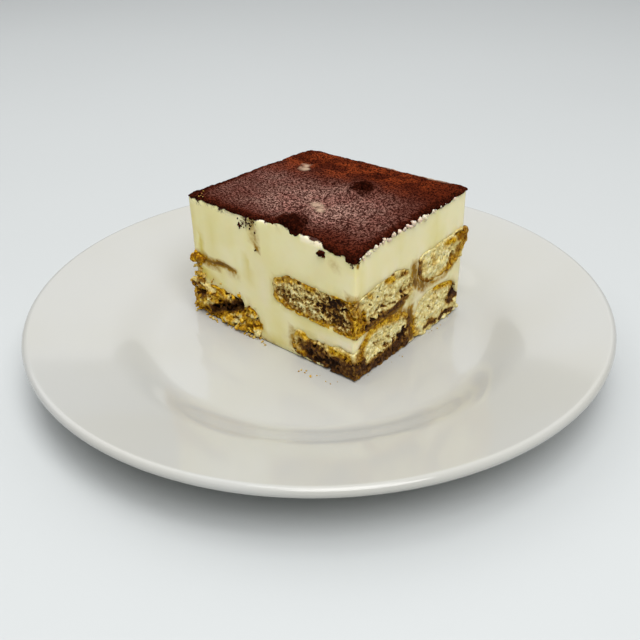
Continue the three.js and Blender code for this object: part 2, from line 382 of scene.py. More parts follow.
def makeSpeckGroup():  # specks of one size: where noise is above a threshold
    inputs = [("Scale", 500.0), ("Detail", 2.0), ("Low", 0.45), ("High", 0.6), ("Shift", 0.0)]
    group, entry, result = newGroup("specks", inputs, ["Mask"])
    place = group.nodes.new("ShaderNodeTexCoord")
    shifted = group.nodes.new("ShaderNodeVectorMath")
    shifted.operation = "ADD"
    group.links.new(place.outputs["Object"], shifted.inputs[0])
    group.links.new(entry.outputs["Shift"], shifted.inputs[1])
    noise = group.nodes.new("ShaderNodeTexNoise")
    group.links.new(shifted.outputs[0], noise.inputs["Vector"])
    group.links.new(entry.outputs["Scale"], noise.inputs["Scale"])
    group.links.new(entry.outputs["Detail"], noise.inputs["Detail"])
    fit = group.nodes.new("ShaderNodeMapRange")
    fit.interpolation_type = "SMOOTHSTEP"
    group.links.new(noise.outputs[0], fit.inputs["Value"])
    group.links.new(entry.outputs["Low"], fit.inputs["From Min"])
    group.links.new(entry.outputs["High"], fit.inputs["From Max"])
    group.links.new(fit.outputs["Result"], result.inputs["Mask"])
    return group


def makeGrainGroup():  # two sizes of unevenness added up, for bump
    inputs = [("Coarse Scale", 300.0), ("Fine Scale", 1500.0), ("Fine Share", 0.5)]
    group, entry, result = newGroup("grain", inputs, ["Height"])
    place = group.nodes.new("ShaderNodeTexCoord")
    heights = []
    for label in ("Coarse Scale", "Fine Scale"):
        noise = group.nodes.new("ShaderNodeTexNoise")
        noise.inputs["Detail"].default_value = 3
        group.links.new(place.outputs["Object"], noise.inputs["Vector"])
        group.links.new(entry.outputs[label], noise.inputs["Scale"])
        heights.append(noise.outputs[0])
    fine = times(group, heights[1], entry.outputs["Fine Share"])
    group.links.new(plus(group, heights[0], fine), result.inputs["Height"])
    return group


speckGroup = makeSpeckGroup()
grainGroup = makeGrainGroup()


def addSpecks(tree, scale, low, high, shift=0.0, detail=2.0):
    node = tree.nodes.new("ShaderNodeGroup")
    node.node_tree = speckGroup
    values = {"Scale": scale, "Low": low, "High": high, "Detail": detail, "Shift": shift}
    for label, value in values.items():
        node.inputs[label].default_value = value
    return node.outputs["Mask"]


def addGrainBump(tree, shader, coarse, fine, share, height, strength=1.0):
    node = tree.nodes.new("ShaderNodeGroup")
    node.node_tree = grainGroup
    node.inputs["Coarse Scale"].default_value = coarse
    node.inputs["Fine Scale"].default_value = fine
    node.inputs["Fine Share"].default_value = share
    bump = tree.nodes.new("ShaderNodeBump")
    bump.inputs["Strength"].default_value = strength
    bump.inputs["Distance"].default_value = height * mm
    tree.links.new(node.outputs["Height"], bump.inputs["Height"])
    tree.links.new(bump.outputs["Normal"], shader.inputs["Normal"])


def newMaterial(name, **settings):
    material = bpy.data.materials.new(name)
    material.use_nodes = True
    tree = material.node_tree
    shader = tree.nodes["Principled BSDF"]
    for label, value in settings.items():
        shader.inputs[label.replace("_", " ")].default_value = value
    return material, tree, shader


# Specks in the looks below: scale, low, high, shift, detail. Grain: coarse and fine scale, share
# of the fine one, height in millimetres, strength.
creamLook = {
    "cream": tone(235, 226, 164),
    "pale": tone(241, 234, 186),
    "white": tone(243, 233, 204),
    "blush": tone(228, 192, 178),
    "yolk": tone(213, 196, 94),
    "coffee": tone(164, 122, 2),
    "darkCoffee": tone(98, 62, 0),
    "cocoa": tone(58, 24, 14),
    "soft": (70, 0.3, 0.75, 0.0, 3),
    "blotch": (800, 0.3, 0.7, 3.0),
    "grains": (1300, 0.42, 0.56, 7.0),
    "stainStrength": 1.4,
    "grain": (160, 900, 0.25, 0.25, 0.6),
}


def makeCreamMaterial():
    look = creamLook
    material, tree, shader = newMaterial(
        "mascarpone_cream",
        Roughness=0.45,
        Subsurface_Weight=0.35,
        Subsurface_Radius=(1.0, 0.75, 0.4),
        Subsurface_Scale=1.4 * mm,
        Specular_IOR_Level=0.15,
    )
    colour = addMix(tree, addSpecks(tree, *look["soft"]), look["cream"], look["pale"])
    for kind in ("yolk", "white", "blush"):
        colour = addMix(tree, addAttribute(tree, kind), colour, look[kind])
    stain = addAttribute(tree, "stain")
    patchy = plus(tree, times(tree, addSpecks(tree, *look["blotch"]), 0.7), 0.65)
    mask = times(tree, patchy, times(tree, stain, look["stainStrength"]), limit=True)
    brown = addMix(tree, addStep(tree, stain, 0.6, 1.1), look["coffee"], look["darkCoffee"])
    colour = addMix(tree, mask, colour, brown)
    dust = addAttribute(tree, "dust")
    dusty = times(tree, plus(tree, addSpecks(tree, *look["grains"]), dust), dust, limit=True)
    colour = addMix(tree, dusty, colour, look["cocoa"])
    tree.links.new(colour, shader.inputs["Base Color"])
    addGrainBump(tree, shader, *look["grain"])
    return material


crumbLook = {
    "tones": [
        (0.0, tone(40, 20, 5)),
        (0.2, tone(78, 46, 14)),
        (0.42, tone(136, 98, 36)),
        (0.62, tone(194, 168, 98)),
        (0.85, tone(220, 206, 142)),
        (1.0, tone(236, 227, 178)),
    ],
    "golds": [(0.0, tone(122, 76, 0)), (0.5, tone(194, 146, 8)), (1.0, tone(228, 194, 72))],
    "coarse": (480, 0.34, 0.66),
    "fine": (1250, 0.36, 0.64, 5.0),
    "flecks": (820, 0.47, 0.58, 9.0),
    "dots": (1050, 0.5, 0.62, 13.0),
    # from dark 0 to light 1: a fixed part and a mottled one
    "dry": (0.7, 0.34),
    "wet": (0.26, 0.55),  # by mottle and by flecks
    # how much each of these darkens the crumb; the last is painted shade inside the pores
    "darkening": {"dots": 0.45, "crust": 0.3, "pit": 0.36},
    "grain": (600, 2000, 0.5, 0.3, 0.8),
}


def addRamp(tree, value, stops):
    node = tree.nodes.new("ShaderNodeValToRGB")
    elements = node.color_ramp.elements
    while len(elements) < len(stops):
        elements.new(0.5)
    for element, (place, colour) in zip(elements, stops):
        element.position = place
        element.color = colour
    tree.links.new(value, node.inputs["Fac"])
    return node.outputs["Color"]


def makeCrumbMaterial():
    look = crumbLook
    material, tree, shader = newMaterial(
        "soaked_ladyfinger",
        Subsurface_Weight=0.12,
        Subsurface_Radius=(1.0, 0.6, 0.3),
        Subsurface_Scale=1.0 * mm,
        Specular_IOR_Level=0.1,
    )
    soak, crust, fleck, pit = (addAttribute(tree, name) for name in ("soak", "crust", "fleck", "pit"))
    mottle = times(tree, plus(tree, addSpecks(tree, *look["coarse"]), addSpecks(tree, *look["fine"])), 0.5)
    dry = plus(tree, times(tree, mottle, look["dry"][1]), look["dry"][0])
    flecks = times(tree, fleck, addSpecks(tree, *look["flecks"]))
    wet = plus(tree, times(tree, mottle, look["wet"][0]), times(tree, flecks, look["wet"][1]))
    dots = times(tree, addSpecks(tree, *look["dots"]), minus(tree, fleck, soak, limit=True))
    value = addMix(tree, soak, dry, wet, "FLOAT")
    value = minus(tree, value, times(tree, dots, look["darkening"]["dots"]))
    value = minus(tree, value, times(tree, crust, look["darkening"]["crust"]))
    # Painted shade inside the pores.
    value = minus(tree, value, times(tree, pit, look["darkening"]["pit"]), limit=True)
    golden = addRamp(tree, minus(tree, mottle, times(tree, soak, 0.45)), look["golds"])
    gold = plus(tree, addAttribute(tree, "gold"), times(tree, crust, 0.3), limit=True)
    colour = addMix(tree, gold, addRamp(tree, value, look["tones"]), golden)
    tree.links.new(colour, shader.inputs["Base Color"])
    tree.links.new(minus(tree, 0.85, times(tree, soak, 0.3)), shader.inputs["Roughness"])
    addGrainBump(tree, shader, *look["grain"])
    return material


cocoaLook = {
    "dry": tone(126, 54, 26),
    "red": tone(78, 29, 15),
    "dark": tone(30, 9, 5),
    # The light and rose tones are painted sheen: specks of reflected light on the grains in the middle of the
    # top, over the darker damp tone.
    "light": tone(174, 135, 121),
    "damp": tone(54, 27, 22),
    "roseSheen": tone(166, 116, 104),
    "thin": tone(196, 170, 144),
    "coarse": (1050, 0.3, 0.7, 4.0),
    "fine": (2100, 0.34, 0.66, 8.0, 1),
    "broad": (170, 0.35, 0.68, 0.0, 4),
    "grain": (900, 2400, 0.6, 0.4, 1.0),
}


def makeCocoaMaterial():
    look = cocoaLook
    material, tree, shader = newMaterial("cocoa_powder", Roughness=0.9, Specular_IOR_Level=0.0)
    coarse, fine, broad = (addSpecks(tree, *look[name]) for name in ("coarse", "fine", "broad"))
    grain = times(tree, plus(tree, coarse, fine), 0.5)
    brightness = plus(tree, times(tree, broad, 1.5), 0.05)
    dryTone = times(tree, brightness, addAttribute(tree, "bright"), limit=True)
    colour = addMix(tree, dryTone, look["red"], look["dry"])
    colour = addMix(tree, addStep(tree, grain, 0.75, 0.2), colour, look["dark"])
    # Painted sheen in the middle of the top: light specks over a darker damp ground.
    dampLight = addMix(tree, broad, look["light"], look["roseSheen"])
    dampTone = addMix(tree, addStep(tree, grain, 0.36, 0.84), look["damp"], dampLight)
    colour = addMix(tree, addAttribute(tree, "damp"), colour, dampTone)
    colour = addMix(tree, addAttribute(tree, "thin"), colour, look["thin"])
    # Dark patches: moist cocoa, with painted shade on the mounds' shaded sides.
    moist = times(tree, addAttribute(tree, "moist"), minus(tree, 1.45, grain), limit=True)
    colour = addMix(tree, moist, colour, look["dark"])
    tree.links.new(colour, shader.inputs["Base Color"])
    addGrainBump(tree, shader, *look["grain"])
    return material


glazeLook = {
    "glaze": tone(184, 184, 180),
    "warm": tone(182, 181, 174),
    "cloud": (18, 0.3, 0.75),
    "grain": (30, 220, 0.05, 0.25, 0.12),
}


def makeGlazeMaterial():
    look = glazeLook
    material, tree, shader = newMaterial("glazed_porcelain", Roughness=0.1, IOR=1.5)
    colour = addMix(tree, addSpecks(tree, *look["cloud"]), look["glaze"], look["warm"])
    tree.links.new(colour, shader.inputs["Base Color"])
    addGrainBump(tree, shader, *look["grain"])
    return material


floorLook = {"light": tone(192, 195, 195), "lighter": tone(194, 197, 197), "cloud": (3, 0.2, 0.8)}


def makeFloorMaterial():
    look = floorLook
    material, tree, shader = newMaterial("floor_paper", Roughness=0.75, Specular_IOR_Level=0.1)
    colour = addMix(tree, addSpecks(tree, *look["cloud"]), look["light"], look["lighter"])
    tree.links.new(colour, shader.inputs["Base Color"])
    return material


creamMaterial = makeCreamMaterial()
crumbMaterial = makeCrumbMaterial()
cocoaMaterial = makeCocoaMaterial()
glazeMaterial = makeGlazeMaterial()
print("materials made")

# Marks on the two cut faces, as strokes: width, strength, then points along the face and up.
# The front face is counted from its left end, the right-hand one from its front edge.
frontMarks = {
    "soak": [
        (1.7, 0.6, (41, 25), (42.2, 22.5), (46, 20.4), (54, 19.6), (64, 19.4), (76, 19.2)),
        (2.2, 0.5, (42.5, 25), (46, 23.5)), (5, 0.15, (48, 27), (56, 26), (62, 27)),
        (3.2, 0.95, (61, 24.5), (65, 27), (71, 27), (74, 23)), (2.2, 0.75, (66, 22), (72, 20.8)),
        (0.9, 0.9, (51.5, 31), (53, 30.6)), (0.9, 0.9, (57, 31.2), (59, 30.6)),
        (0.8, 0.7, (46, 30.8), (48, 31.2)), (2.6, 0.8, (52, 6.6), (56, 7.2), (60, 7)),
        # The stroke along 1.4 up from 49 to 77 is painted shadow along the ladyfinger's base.
        (4.2, 1, (55, 4.5), (64, 4), (70, 4.6), (77, 4.8)), (2.6, 1, (49, 1.4), (60, 1.4), (77, 1.4)),
        (1.8, 0.6, (47.6, 8), (48.4, 4), (50, 2)), (3, 1, (7, 4), (12, 5.6), (17, 8), (22.6, 12)),
        (3.4, 1, (15, 8), (21, 10)), (1.8, 1, (0.4, 10.2), (3.2, 9.8)), (1, 0.8, (23.6, 11), (24.6, 14.6)),
        (1.3, 0.7, (26, 8), (30, 6)), (1.4, 0.7, (2, 1.8), (9, 1.4)), (1.2, 0.3, (-1, 22.4), (3.5, 22)),
        (1.2, 0.7, (2, 16), (5, 16.3)),
    ],
    "gold": [
        (1.6, 0.85, (42, 28), (44.5, 29.6), (50, 30.6)), (1.4, 0.8, (54.5, 30.4), (58.5, 30)),
        (1.8, 0.95, (68, 31), (73.5, 30.4)), (1.9, 0.95, (75.6, 25), (76.2, 18.5)),
        (1.3, 0.9, (40, 23), (43, 20), (50, 18.7), (60, 18.2), (76, 17.6)), (2, 0.95, (65.5, 9.4), (74, 9)),
        (1.4, 0.9, (48.6, 10), (52, 10.2), (57, 10)), (1.6, 0.7, (48, 6), (49.4, 4)),
        (1.4, 0.8, (50.6, 3), (54, 2.6)), (4, 0.95, (-3, 24.6), (3, 24)),
    ],
    "coffee": [
        (1.6, 1, (1.5, 25), (8, 25.2), (14, 25)), (2.4, 1, (0.5, 25.2), (5, 24.8)),
        (1.5, 0.9, (12, 25.1), (17, 24.9), (21, 24.5)), (1.5, 0.5, (4, 23.6), (9, 24.2)),
        (2.2, 0.4, (30.4, 48.5), (31.2, 44), (31.7, 40)), (0.7, 0.9, (32.2, 38), (32.5, 36.8)),
        (0.9, 0.45, (43, 47.8), (44, 46.6)), (1, 0.25, (66, 43), (68, 42.4)),
        # The thin stroke from 33 to 48 at 1.2 up is painted shadow under the cream's bottom edge.
        (1.6, 0.5, (47, 4), (47.8, 7), (49, 10)), (0.6, 0.5, (33, 1.2), (48, 1.2)),
    ],
    "yolk": [
        (1.1, 0.95, (4.6, 38), (4.2, 32), (3.6, 27)), (1.1, 0.55, (27.6, 32), (27.8, 27), (27.4, 23)),
        (1.1, 0.6, (24, 15), (25.5, 9)), (2.2, 1, (-1, 19.5), (8, 18.4)), (1.4, 0.8, (1, 17), (12, 16.4)),
        (1.6, 0.5, (33, 5), (37, 2), (45, 3)), (1.6, 0.35, (0, 45), (0.5, 30)),
        (1.2, 0.4, (39, 27), (38.6, 22), (41, 19), (50, 17)),
    ],
    "white": [
        (1.6, 1, (54.5, 48.6), (61.5, 47.2)), (0.9, 1, (32.5, 49), (38, 49)),
        (2.6, 0.6, (62, 13.6), (76, 13.4)), (1.6, 0.6, (61, 10.6), (76, 10.8)),
        (2.6, 0.25, (33.5, 33), (34, 18)),
    ],
    "dust": [
        (1.2, 0.6, (26.5, 48.8), (28.5, 44.8)), (0.85, 1, (61.7, 44.9), (63, 44.4)),
        (0.6, 0.7, (74.8, 46), (75.2, 44)),
    ],
}

rightMarks = {
    "soak": [
        (2.4, 0.5, (0, 28), (2, 24.6), (4.4, 21.8), (8, 20)),
        (1.4, 0.9, (6, 19.6), (14, 19.4), (22, 19.8), (29, 21)),
        (1.8, 0.4, (29.6, 21.5), (31.8, 25), (31.6, 31)), (0.6, 1, (12.2, 23.6), (13.6, 24.6)),
        (0.6, 1, (15, 23.6), (16.6, 22.8)), (0.6, 0.8, (20.5, 22.6), (22.4, 22)),
        (0.6, 0.8, (26.6, 24.2), (28, 23)), (0.7, 0.9, (18, 33.8), (20.6, 33.6)),
        (1, 0.5, (24.5, 32), (28.5, 31)), (2.4, 0.8, (35.6, 31), (36, 25), (39, 21.8), (44, 20.8)),
        (1.2, 0.75, (44, 20.8), (52, 21.2), (57, 22.8)), (0.7, 1, (55.8, 27.6), (57, 26.8)),
        (2.6, 0.6, (54.5, 22.6), (60.5, 26.4), (64.5, 30.4)), (2.8, 0.75, (61.5, 33), (66, 33.6), (70, 33)),
        (1, 0.6, (2.4, 8.4), (4.4, 12.6), (6.2, 15)),
        (3.4, 1, (-1, 2.6), (8, 2.2), (16, 2.4), (24, 2.8), (29, 3)),
        (2.2, 1, (22, 4), (27.6, 6), (30.6, 9.4)), (2, 0.9, (30.6, 13), (32, 8), (33, 3)),
        (0.8, 0.9, (16.8, 7.8), (17.4, 6.6)), (0.5, 0.6, (34, 15.4), (35, 14.6)),
        (3.2, 1, (58.4, 7.4), (59.6, 11.6)), (2.2, 1, (61.4, 8), (62, 12)),
        (1.4, 0.95, (42, 2.4), (45, 3.4), (49, 2.2)), (1.5, 0.95, (51.4, 2.4), (56, 3.4), (60.4, 1.8)),
    ],
    "gold": [
        (2.2, 0.7, (-1, 29), (1.4, 25), (4.4, 21)), (2, 1, (17.4, 32.4), (21, 31.4)),
        (1.2, 0.8, (7.2, 31), (8.8, 29.8)), (1.2, 0.5, (25.4, 32.2), (28.4, 31.4)),
        (1.8, 1, (52.6, 33.4), (57.5, 32.4)), (1.5, 0.55, (44, 31.6), (45.4, 28)),
        (1.4, 0.35, (38.4, 31), (39.6, 27.4)), (2.2, 0.7, (60.6, 33), (67, 34)),
        (2.8, 0.8, (53.6, 21.6), (59.6, 25), (64.6, 29.6)),
        (1.6, 0.8, (36.4, 24), (39, 21.8), (46, 20.8), (54, 21.8)), (2.6, 1, (63, 32.4), (70, 32.6)),
        (1.6, 0.8, (50, 21.6), (57, 24.2)),
        (2.2, 0.95, (3, 8), (4.6, 13), (8.4, 16.4), (14, 16.8), (20, 16.2), (24, 15)),
        (1.8, 0.75, (26, 16.6), (29, 14)), (1.6, 1, (46.4, 17), (52, 16), (59, 14.8)),
        (2.2, 0.85, (33.4, 9), (34.4, 4), (36.6, 2)), (0.9, 0.5, (0, 0.8), (6, 0.6)),
        (2.2, 0.2, (44, 8), (47, 13)),
    ],
    "coffee": [
        (2.4, 0.7, (0.6, 31), (1.6, 27), (3.4, 22.6), (7, 19.4)),
        (1.9, 1, (5, 18.7), (12, 18.4), (22, 18.6), (27, 19.2)), (2, 0.6, (23, 17), (28, 15.2), (31.6, 11)),
        (2.4, 0.85, (32.8, 32), (34, 27), (35.2, 23.4), (40, 20.4)), (1.5, 1, (33.4, 25.4), (35, 22.4)),
        (1.2, 0.6, (41, 20), (50, 19.8), (58, 21.8)), (2.2, 0.95, (31.6, 15), (33, 9), (33.4, 3)),
        (0.9, 0.5, (1, 9), (2.6, 13), (5.4, 16.6)), (0.6, 0.75, (1.1, 48), (1.4, 43.6)),
        (0.5, 0.6, (3.4, 48), (3.6, 45.4)),
    ],
    "yolk": [
        (1.6, 0.4, (60, 29), (62, 24), (62.5, 19)), (1.6, 0.25, (36, 17), (44, 19)),
        (1.4, 0.4, (5, 30), (9, 32)),
    ],
    "white": [
        (2.4, 0.7, (0, 14), (4, 14), (7, 12)), (2, 0.5, (33, 16), (36, 19), (44, 19)),
        (1, 0.5, (1, 40), (1.2, 30)),
    ],
    "dust": [
        (0.7, 0.6, (5, 47.6), (6, 46.6)),
    ],
}


def toSegment(place, up, start, end):  # distance on a face from the line between two points
    (x, z), dx, dz = start, end[0] - start[0], end[1] - start[1]
    share = clamp(((place - x) * dx + (up - z) * dz) / (dx * dx + dz * dz))
    return np.hypot(place - x - share * dx, up - z - share * dz)


def strokes(marks, place, up):  # strength of the strongest mark at each point of a face
    total = np.zeros(len(place))
    for width, strength, *points in marks:
        for start, end in zip(points[:-1], points[1:]):
            far = toSegment(place, up, start, end) / width
            total = np.maximum(total, strength * (1 - smooth(far, 0.35, 1.25)))
    return total


def marked(kind, points, wander):  # strength of one kind of mark on the two faces
    along, across, up = points.T
    values = np.zeros(len(points))
    atRight = along > length - 4
    for marks, place, near in ((frontMarks, along, across < 6), (rightMarks, across, atRight)):
        found = strokes(marks[kind], place[near] + wander[near], up[near] - 0.8 * wander[near])
        values[near] = np.maximum(values[near], found)
    return values


# The block's shape, read from the frame.
heightSetup = {"step": 1.0, "edge": 1.8}


def cocoaHeights():
    points, triangles = cadShape("cocoa_layer")
    tree = BVHTree.FromPolygons([Vector(p) for p in points], [tuple(t) for t in triangles])
    edge = heightSetup["edge"]
    alongs = np.arange(0, length + 1e-6, heightSetup["step"])
    acrosses = np.arange(0, width + 1e-6, heightSetup["step"])
    heights = np.zeros((len(alongs), len(acrosses)), np.float32)
    for i, along in enumerate(alongs):
        for j, across in enumerate(acrosses):
            x = min(max(along, edge), length - edge)
            y = min(max(across, edge), width - edge)
            hit = tree.ray_cast(Vector((x, y, 80)), Vector((0, 0, -1)))[0]
            heights[i, j] = hit.z
    return blur(heights, 1.0)


topHeights = cocoaHeights()


def topAt(along, across):  # height of the cocoa's surface above the well
    x = np.clip(np.asarray(along, np.float32) / heightSetup["step"], 0, topHeights.shape[0] - 1.001)
    y = np.clip(np.asarray(across, np.float32) / heightSetup["step"], 0, topHeights.shape[1] - 1.001)
    x, y = np.broadcast_arrays(x, y)
    i, j = x.astype(int), y.astype(int)
    u, v = x - i, y - j
    low = topHeights[i, j] * (1 - u) + topHeights[i + 1, j] * u
    high = topHeights[i, j + 1] * (1 - u) + topHeights[i + 1, j + 1] * u
    return low * (1 - v) + high * v


def outsideBlock(along, across, up, corner, backCorner):  # distance outwards from its upright sides
    share = up / sliceGrid["height"]
    toLeft = clamp(1 - along / length) * (1 - sliceGrid["leanTurn"] * clamp(across / width))
    x = along + sliceGrid["leanLeft"] * share * toLeft
    y = across - sliceGrid["leanBack"] * share * clamp(across / width)
    offX = np.abs(x - length / 2) - (length / 2 - corner)
    offY = np.abs(y - width / 2) - (width / 2 - corner)
    rounded = np.hypot(offX, offY) - corner
    sides = np.where((offX > 0) & (offY > 0), rounded, np.maximum(offX, offY) - corner)
    u = backCorner - x
    v = y - (width - backCorner)
    return np.maximum(sides, np.where((u > 0) & (v > 0), np.hypot(u, v) - backCorner, -9))


# What all ladyfingers have in common, where their own look below says nothing else.
commonLook = {
    "step": 0.36,  # size of a cell in millimetres
    "proud": 0.1,  # how far a sliced side stands out of the cream
    "grit": 0.2,  # roughness of a sliced side
    "crust": 1.0,  # depth of the darker edge
    "rim": 0.4,  # strength of the darker edge
    "base": 0.05,  # dampness of the plain crumb
    "flecks": 0.3,  # light and dark flecks on the front face
    "pores": 260,  # number on all sliced sides
    "poreSize": 0.45,
    "clusters": [],  # larger holes: place on the grid, spread, number, size
    "lumps": [],  # crumbs standing out: place on the grid, radius
    "outline": [],  # edge on the front face: places along and up
    "broken": False,  # torn at the front, not cut
}
fingerLooks = {
    "ladyfinger_upper_front": {
        "seed": 11, "cut": ("front", "right"), "step": 0.27, "proud": 0.05, "crust": 0.9, "rim": 0.35,
        "base": 0.04, "flecks": 1.0, "grit": 0.25, "pores": 900,
        "clusters": [((76.6, 14.4, 23.6), 3.2, 28, 0.6), ((76.6, 27, 24), 3.6, 60, 0.55),
                     ((45, 0, 24), 3.0, 36, 0.6), ((67, 0, 25), 5.5, 120, 0.8), ((55, 0, 24), 6.0, 80, 0.4)],
        "outline": [(38.9, 24), (39.4, 26.6), (41.2, 28.6), (44, 30.2), (47.5, 31.4), (53, 32), (58, 31.6),
                    (63, 32), (69, 32.3), (74, 31.8), (80, 31.5), (80, 15), (70, 16.2), (60, 16.8),
                    (52.5, 17.2), (50, 18.3), (46, 18.9), (42, 19.9), (39.8, 21.6)],
    },
    "ladyfinger_upper_back": {
        "seed": 12, "cut": ("right",), "step": 0.3, "crust": 0.8, "rim": 0.3, "base": 0.0, "flecks": 0.0,
        "grit": 0.16, "poreSize": 0.4,
        "clusters": [((77, 56, 27), 2.0, 14, 0.7), ((77, 47, 28), 5.0, 50, 0.4)],
        "lumps": [(75.4, 66.6, 32.6, 1.8), (75.8, 68.3, 32.2, 1.0), (75.6, 64.5, 33.2, 1.7)],
    },
    "ladyfinger_lower_front": {
        "seed": 13, "cut": ("front", "right"), "step": 0.27, "proud": 0.05, "crust": 0.9, "rim": 0.3,
        "base": 0.0, "flecks": 0.25, "grit": 0.25, "pores": 600, "poreSize": 0.4,
        "clusters": [((76.6, 15, 7.5), 7.0, 90, 0.5), ((62, 0, 5), 6.0, 90, 0.6),
                     ((76.6, 26, 7), 3.0, 40, 0.6)],
        "outline": [(47.3, 8), (48.6, 10.4), (52, 11.4), (57, 10.9), (61, 10.2), (66, 11), (71, 12),
                    (76, 11.4), (80, 11), (80, -2), (50, -2), (48, 2.5), (47.2, 5)],
    },
    "ladyfinger_lower_back": {
        "seed": 14, "cut": ("right",), "step": 0.3, "proud": 0.05, "crust": 0.5, "rim": 0.15, "base": 0.0,
        "flecks": 0.0, "grit": 0.16, "poreSize": 0.4,
        "clusters": [((76.6, 60, 10), 1.8, 24, 1.1), ((76.6, 47, 9), 6.0, 50, 0.4)],
        "lumps": [(76.3, 62.4, 3.6, 0.8), (76.4, 63.2, 2.4, 0.8), (76.2, 61.4, 4.8, 0.6),
                  (76.3, 60.4, 2.2, 0.7)],
    },
    "ladyfinger_upper_left_front": {
        "seed": 15, "cut": ("left",), "proud": 0.0, "crust": 1.6, "rim": 0.6, "base": 0.12, "grit": 0.3,
        "pores": 500, "poreSize": 0.6,
        "lumps": [(-1.0, 0.6, 23.4, 1.9), (1.2, 0.3, 24.6, 1.9), (3.2, 0.3, 24.0, 1.5),
                  (4.6, 0.2, 24.7, 0.9), (-1.9, 1.5, 22.3, 1.4), (0.5, 0.3, 26.2, 1.1),
                  (-0.6, 0.4, 21.2, 1.1), (2.2, 0.2, 21.9, 0.8)],
    },
    "ladyfinger_upper_left_back": {"seed": 16, "cut": ("left",)},
    "ladyfinger_lower_left_front": {
        "seed": 17, "cut": ("front", "left"), "step": 0.3, "proud": 0.0, "crust": 1.2, "rim": 0.3,
        "base": 0.06, "flecks": 0.1, "grit": 0.25, "pores": 500, "poreSize": 0.6, "broken": True,
        "clusters": [((16, 1.5, 7.5), 5.0, 40, 1.0)],
        "outline": [(-9, -2), (-9, 20), (2, 16), (8, 15.2), (14, 16), (18, 14.6), (19.4, 13), (21.2, 14.4),
                    (22.6, 17.4), (23.8, 13.6), (24.8, 10.6), (26.2, 12), (27.4, 13.8), (28.6, 11.2),
                    (30.4, 10.4), (32, 8), (33.6, 6.2), (32.8, 3), (31, 1), (31, -2)],
        "lumps": [(-4.6, 0.5, 12.2, 0.8), (-3, 0.3, 13, 1.1), (-1.5, 0, 14, 1.3), (0.5, -0.2, 14.8, 1.4),
                  (3, -0.2, 15.2, 1.2), (22.4, 0.6, 15.2, 1.0), (22.7, 0.3, 16.6, 0.6)],
    },
    "ladyfinger_lower_left_back": {"seed": 18, "cut": ("left",)},
}
fingerLooks = {node: {**commonLook, **look} for node, look in fingerLooks.items()}


def outlineDistance(space, outline):  # distance outside an outline on the front face
    place, up = space.along[:, :, 0], space.up[0]
    nearest = np.full((len(place), up.shape[1]), 99.0, np.float32)
    inside = np.zeros(nearest.shape, bool)
    for start, end in zip(outline, outline[1:] + outline[:1]):
        nearest = np.minimum(nearest, toSegment(place, up, start, end))
        if start[1] != end[1]:
            crossing = start[0] + (up - start[1]) * (end[0] - start[0]) / (end[1] - start[1])
            inside ^= ((start[1] > up) != (end[1] > up)) & (place < crossing)
    flat = np.where(inside, -nearest, nearest)
    return flat[:, None, :] - 0.8 * np.maximum(space.across, 0)


def withoutCuts(node, look):
    # the CAD shape mirrored over its cut sides, so that distances are counted from the crust alone
    points, triangles = cadShape(node)
    low, high = points.min(0), points.max(0)
    for side in look["cut"]:
        axis = 1 if side == "front" else 0
        plane = high[0] if side == "right" else low[axis]
        reach = 4.6 if side == "front" and look["broken"] else 0.36
        flat = np.abs(points[:, axis] - plane) < reach
        points[flat, axis] = plane
        kept = triangles[~flat[triangles].all(axis=1)]
        mirrored = points.copy()
        mirrored[:, axis] = 2 * plane - mirrored[:, axis]
        triangles = np.concatenate([kept, kept[:, ::-1] + len(points)])
        points = np.concatenate([points, mirrored])
        points, index = np.unique(np.round(points, 3), axis=0, return_inverse=True)
        triangles = index.ravel()[triangles]
    return points, triangles


def bodyField(space, node, look, reach):  # a ladyfinger before it is cut
    body = distanceField(space, *withoutCuts(node, look), reach)
    if look["outline"]:
        body = np.maximum(body, outlineDistance(space, look["outline"]))
    return body


# The torn face, with clumps standing out round hollows.
tornSetup = {
    # place along and up, half length, half height, depth, how steeply it rises
    "hollows": [(15.5, 7.6, 8.0, 2.8, 4.8, 0.45), (2.0, 10.6, 2.0, 1.5, 3.2, 0.0)],
    "clumps": [(0.7, 5.0, 91), (0.8, 2.4, 92), (0.4, 1.2, 93)],  # height, wavelength, seed
    "pieces": 150,  # loose ones stuck to the face
    "sizes": (0.4, 1.4),  # radius of the least and the largest
    "gold": 0.95,
    "dark": 0.95,  # how much darker the torn face gets the further it lies back
}


def brokenFront(space):
    front = -0.2 + space.noises(tornSetup["clumps"])
    for along, up, reach, rise, depth, slope in tornSetup["hollows"]:
        off = space.up - up - slope * (space.along - along)
        front = front + depth * np.exp(-(((space.along - along) / reach) ** 2) - (off / rise) ** 2)
    return front


def cutDistance(space, look, low, high):  # how far outside the cut sides each cell lies
    proud = look["proud"]
    rough = space.noise(2.6, look["seed"] + 40) + 0.7 * space.noise(1.2, look["seed"] + 41)
    sides = []
    if "right" in look["cut"]:
        sides.append(space.along - (high[0] - 0.1 + proud))
    if "left" in look["cut"]:
        sides.append((low[0] + 0.1 - proud) - space.along)
    if "front" in look["cut"]:
        front = brokenFront(space) if look["broken"] else low[1] + 0.1 - proud
        sides.append(front - space.across)
    outside = np.maximum.reduce([np.broadcast_to(side, space.shape) for side in sides])
    return outside + look["grit"] * rough


def porePlaces(space, look, body, cut, low, high, random):
    places = []
    while len(places) < look["pores"]:
        tries = random.uniform(low, high, (60000, 3))
        outside = space.sample(cut, tries)
        near = (outside > -0.8) & (outside < 0.1) & (space.sample(body, tries) < -0.6)
        places.extend(tries[near])
    places = np.array(places[:look["pores"]])
    radii = look["poreSize"] * (0.6 + 1.1 * random.random(len(places)) ** 3)
    for centre, spread, count, size in look["clusters"]:
        more = centre + random.normal(0, spread / 2, (count, 3))
        if centre[0] > 76:
            more[:, 0] = centre[0] + random.uniform(-0.6, 0.1, count)
        else:
            more[:, 1] = centre[1] + random.uniform(-0.1, 0.7, count)
        places = np.concatenate([places, more])
        radii = np.concatenate([radii, size * random.uniform(0.6, 1.3, count)])
    return places, radii


